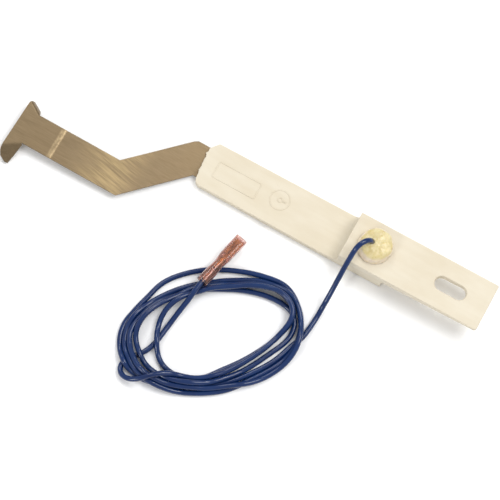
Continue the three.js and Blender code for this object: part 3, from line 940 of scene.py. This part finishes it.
# ---- flash: the moulding's ragged lip over the blade at its mouth --------------------------------------
LIP_NEAR = (ARM_START, -6.6)
LIP_HEIGHT, LIP_HALF_WIDTH, LIP_HALF_HEIGHT = 2.85, 0.5, 0.42


def make_lip():
    rings = []
    steps, sides = 52, 12
    far, near = Vector(MOUTH_FAR), Vector(LIP_NEAR)
    for k in range(steps + 1):
        share = k / steps
        place = far.lerp(near, share)
        lump = noise.noise(Vector((place.y * 0.7, 2.0, 5.0)))
        lump += 0.5 * noise.noise(Vector((place.y * 2.1, 8.0, 1.0)))
        taper = min(1.0, 0.35 + 5 * share, 0.35 + 5 * (1 - share))
        width, height = (LIP_HALF_WIDTH + 0.45 * lump) * taper, LIP_HALF_HEIGHT * taper
        middle = place.x + 0.25 - 0.2 * lump
        ring = []
        for a in range(sides):
            t = 2 * math.pi * a / sides
            ring.append((middle + width * math.cos(t), place.y, LIP_HEIGHT + height * math.sin(t)))
        rings.append(ring)
    return piece("mouth_lip", shade(loft("mouth_lip", rings), 80), CREAM, "insulator")


make_lip()


# ---- potting: a poured plug with a domed, bubbly top -------------------------------------------------
# Radius and height, from the stem's foot up over the dome to its crown.
DOME_PROFILE = [
    (4.5, 4.0), (4.5, 7.5), (5.3, 7.9), (5.3, 12.1), (6.75, 12.1), (6.8, 12.5), (6.72, 13.2), (6.62, 14.0),
    (6.5, 14.7), (6.3, 15.2), (6.0, 15.6), (5.6, 15.95), (5.1, 16.2), (4.4, 16.45), (3.5, 16.65), (2.4, 16.8),
    (1.2, 16.9), (0.3, 16.95),
]
DOME_FOOT, DOME_SHOULDER = 12.3, 15.4  # the dome is lumpy above its foot and finely so above its shoulder
DOME_LEAN = (0.25, 0.45)  # how far the pour slumped towards the slotted end and the far side
LUG_ROOM_RADIUS = 1.65


def refined(profile, from_height, spacing=0.4):
    """The profile with extra points in between, above a height."""
    points = [profile[0]]
    for a, b in zip(profile, profile[1:]):
        cuts = max(1, round(math.dist(a, b) / spacing)) if b[1] > from_height else 1
        for k in range(1, cuts + 1):
            points.append((a[0] + (b[0] - a[0]) * k / cuts, a[1] + (b[1] - a[1]) * k / cuts))
    return points


def make_potting():
    sides = 72
    rings = []
    for radius, z in refined(DOME_PROFILE, 15.0):
        ring = []
        for k in range(sides):
            t = 2 * math.pi * k / sides
            spot = Vector((math.cos(t) * radius, math.sin(t) * radius, z))
            lump = noise.noise(spot * 0.45) if z > DOME_FOOT else 0.0
            fine = noise.noise(spot * 1.3 + Vector((7, 3, 1))) if z > DOME_SHOULDER else 0.0
            r = radius * (1 + 0.02 * lump)
            lean = max(0.0, z - 12.5) / 4.4
            x = WELL_X + r * math.cos(t) + DOME_LEAN[0] * lean
            y = r * math.sin(t) + DOME_LEAN[1] * lean
            ring.append((x, y, z + 0.35 * lump + 0.2 * fine))
        rings.append(ring)
    dome = loft("potting_dome", rings)
    bore = prism("wire_bore", circle(WIRE_EXIT_X, 0, WIRE / 2 + 0.02, 32), 0, 20)
    combine(dome, bore, "DIFFERENCE")
    combine(dome, prism("lug_room", circle(WIRE_EXIT_X, 0, LUG_ROOM_RADIUS, 32), 0, 6.6), "DIFFERENCE")
    shade(dome, 60)
    return piece("potting_dome", dome, EPOXY, "epoxy", "potting_compound")


make_potting()


# ---- terminal: nylon sleeve over a brass receptacle --------------------------------------------------
# Distance from the wire's end, then the outer half width and height, then the inner ones.
SLEEVE_STATIONS = [
    (0.0, 2.4, 2.3, 2.05, 2.05),
    (0.6, 2.42, 2.33, 2.05, 2.05),
    (3.0, 2.35, 2.3, 2.05, 2.05),
    (5.6, 2.25, 2.2, 1.95, 1.95),
    (7.6, 2.05, 2.05, 1.75, 1.75),
    (9.6, 2.0, 1.95, 1.7, 1.7),
    (11.4, 2.2, 2.02, 1.9, 1.75),
    (13.0, 2.4, 2.1, 2.05, 1.8),
    (18.0, 2.45, 2.13, 2.13, 1.83),
    (22.3, 2.5, 2.15, 2.2, 1.85),
    (22.6, 2.45, 2.1, 2.25, 1.9),
]
SIDE = Vector((0, 0, 1)).cross(TERMINAL_AXIS).normalized()
OVER = TERMINAL_AXIS.cross(SIDE)


def on_terminal(x, y, z):
    return tuple(TERMINAL_ENTRY + TERMINAL_AXIS * x + SIDE * y + OVER * z)


def make_sleeve():
    sides = 40
    skins = []
    for which in (0, 1):
        skin = []
        for station in SLEEVE_STATIONS:
            x, wide, high = station[0], station[1 + 2 * which], station[2 + 2 * which]
            flat = 2.0 + 1.6 * min(1.0, max(0.0, (x - 9.6) / 4.0))
            ring = []
            for k in range(sides):
                t = 2 * math.pi * k / sides
                c, s = math.cos(t), math.sin(t)
                grow = (abs(c) ** flat + abs(s) ** flat) ** (-1 / flat)
                ring.append(on_terminal(x, wide * c * grow, high * s * grow))
            skin.append(ring)
        skins.append(skin)
    sleeve = loft("terminal_sleeve", skins[0] + skins[1][::-1] + [skins[0][0]], closed_ends=False)
    bm = bmesh.new()
    bm.from_mesh(sleeve.data)
    bmesh.ops.remove_doubles(bm, verts=bm.verts, dist=1e-7)
    bmesh.ops.recalc_face_normals(bm, faces=bm.faces)
    bm.to_mesh(sleeve.data)
    bm.free()
    shade(sleeve, 50)
    return piece("terminal_sleeve", sleeve, NYLON, "nylon", "terminal_housing")


sleeve = make_sleeve()

for node, material in (
    ("terminal_receptacle", BRASS),
    ("terminal_grip_sleeve", TIN),
    ("conductor_tip", COPPER),
    ("conductor_root", COPPER),
    ("wire_lug", BRASS),
    ("lug_rivet", BRASS),
):
    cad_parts[node].data.materials.clear()
    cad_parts[node].data.materials.append(material)


# ---- floor and light -----------------------------------------------------------------------------
def make_floor():
    bm = bmesh.new()
    bmesh.ops.create_grid(bm, x_segments=8, y_segments=8, size=1.5)
    floor = from_bmesh("floor", bm)
    floor.location.z = -0.0002
    made = Finish("pale_floor", Roughness=0.9)
    tone = made.ramp(made.noise(0.004, 2), (0.3, rgb(250, 250, 250)), (0.7, rgb(255, 255, 255)))
    made.drive(tone, "Base Color")
    floor.data.materials.append(made.material)


def area_light(name, place, target, width, height, watts, colour=(1, 1, 1)):
    data = bpy.data.lights.new(name, "AREA")
    data.shape = "RECTANGLE"
    data.size, data.size_y = width, height
    data.energy = watts
    data.color = colour
    lamp = bpy.data.objects.new(name, data)
    bpy.context.scene.collection.objects.link(lamp)
    lamp.location = place
    lamp.rotation_mode = "QUATERNION"
    lamp.rotation_quaternion = (Vector(target) - Vector(place)).to_track_quat("-Z", "Y")


make_floor()
area_light("softbox_above", (0.43, 0.38, 1.12), (0, 0, 0), 0.65, 0.6, 8.3)
area_light("spot_above", (0.05, 0.75, 1.25), (0, 0, 0), 0.06, 0.06, 0.8)
area_light("softbox_far_left", (-0.6, 0.5, 0.9), (0, 0, 0), 0.35, 0.35, 2.5)
area_light("softbox_near", (-0.35, -0.88, 0.68), (0.05, 0, 0), 0.22, 0.22, 2.9)

world = bpy.data.worlds.new("studio")
bpy.context.scene.world = world
world.use_nodes = True
backdrop = world.node_tree.nodes["Background"]
backdrop.inputs["Color"].default_value = (1, 1, 1, 1)
backdrop.inputs["Strength"].default_value = 0.62
bpy.context.scene.view_settings.view_transform = "Standard"
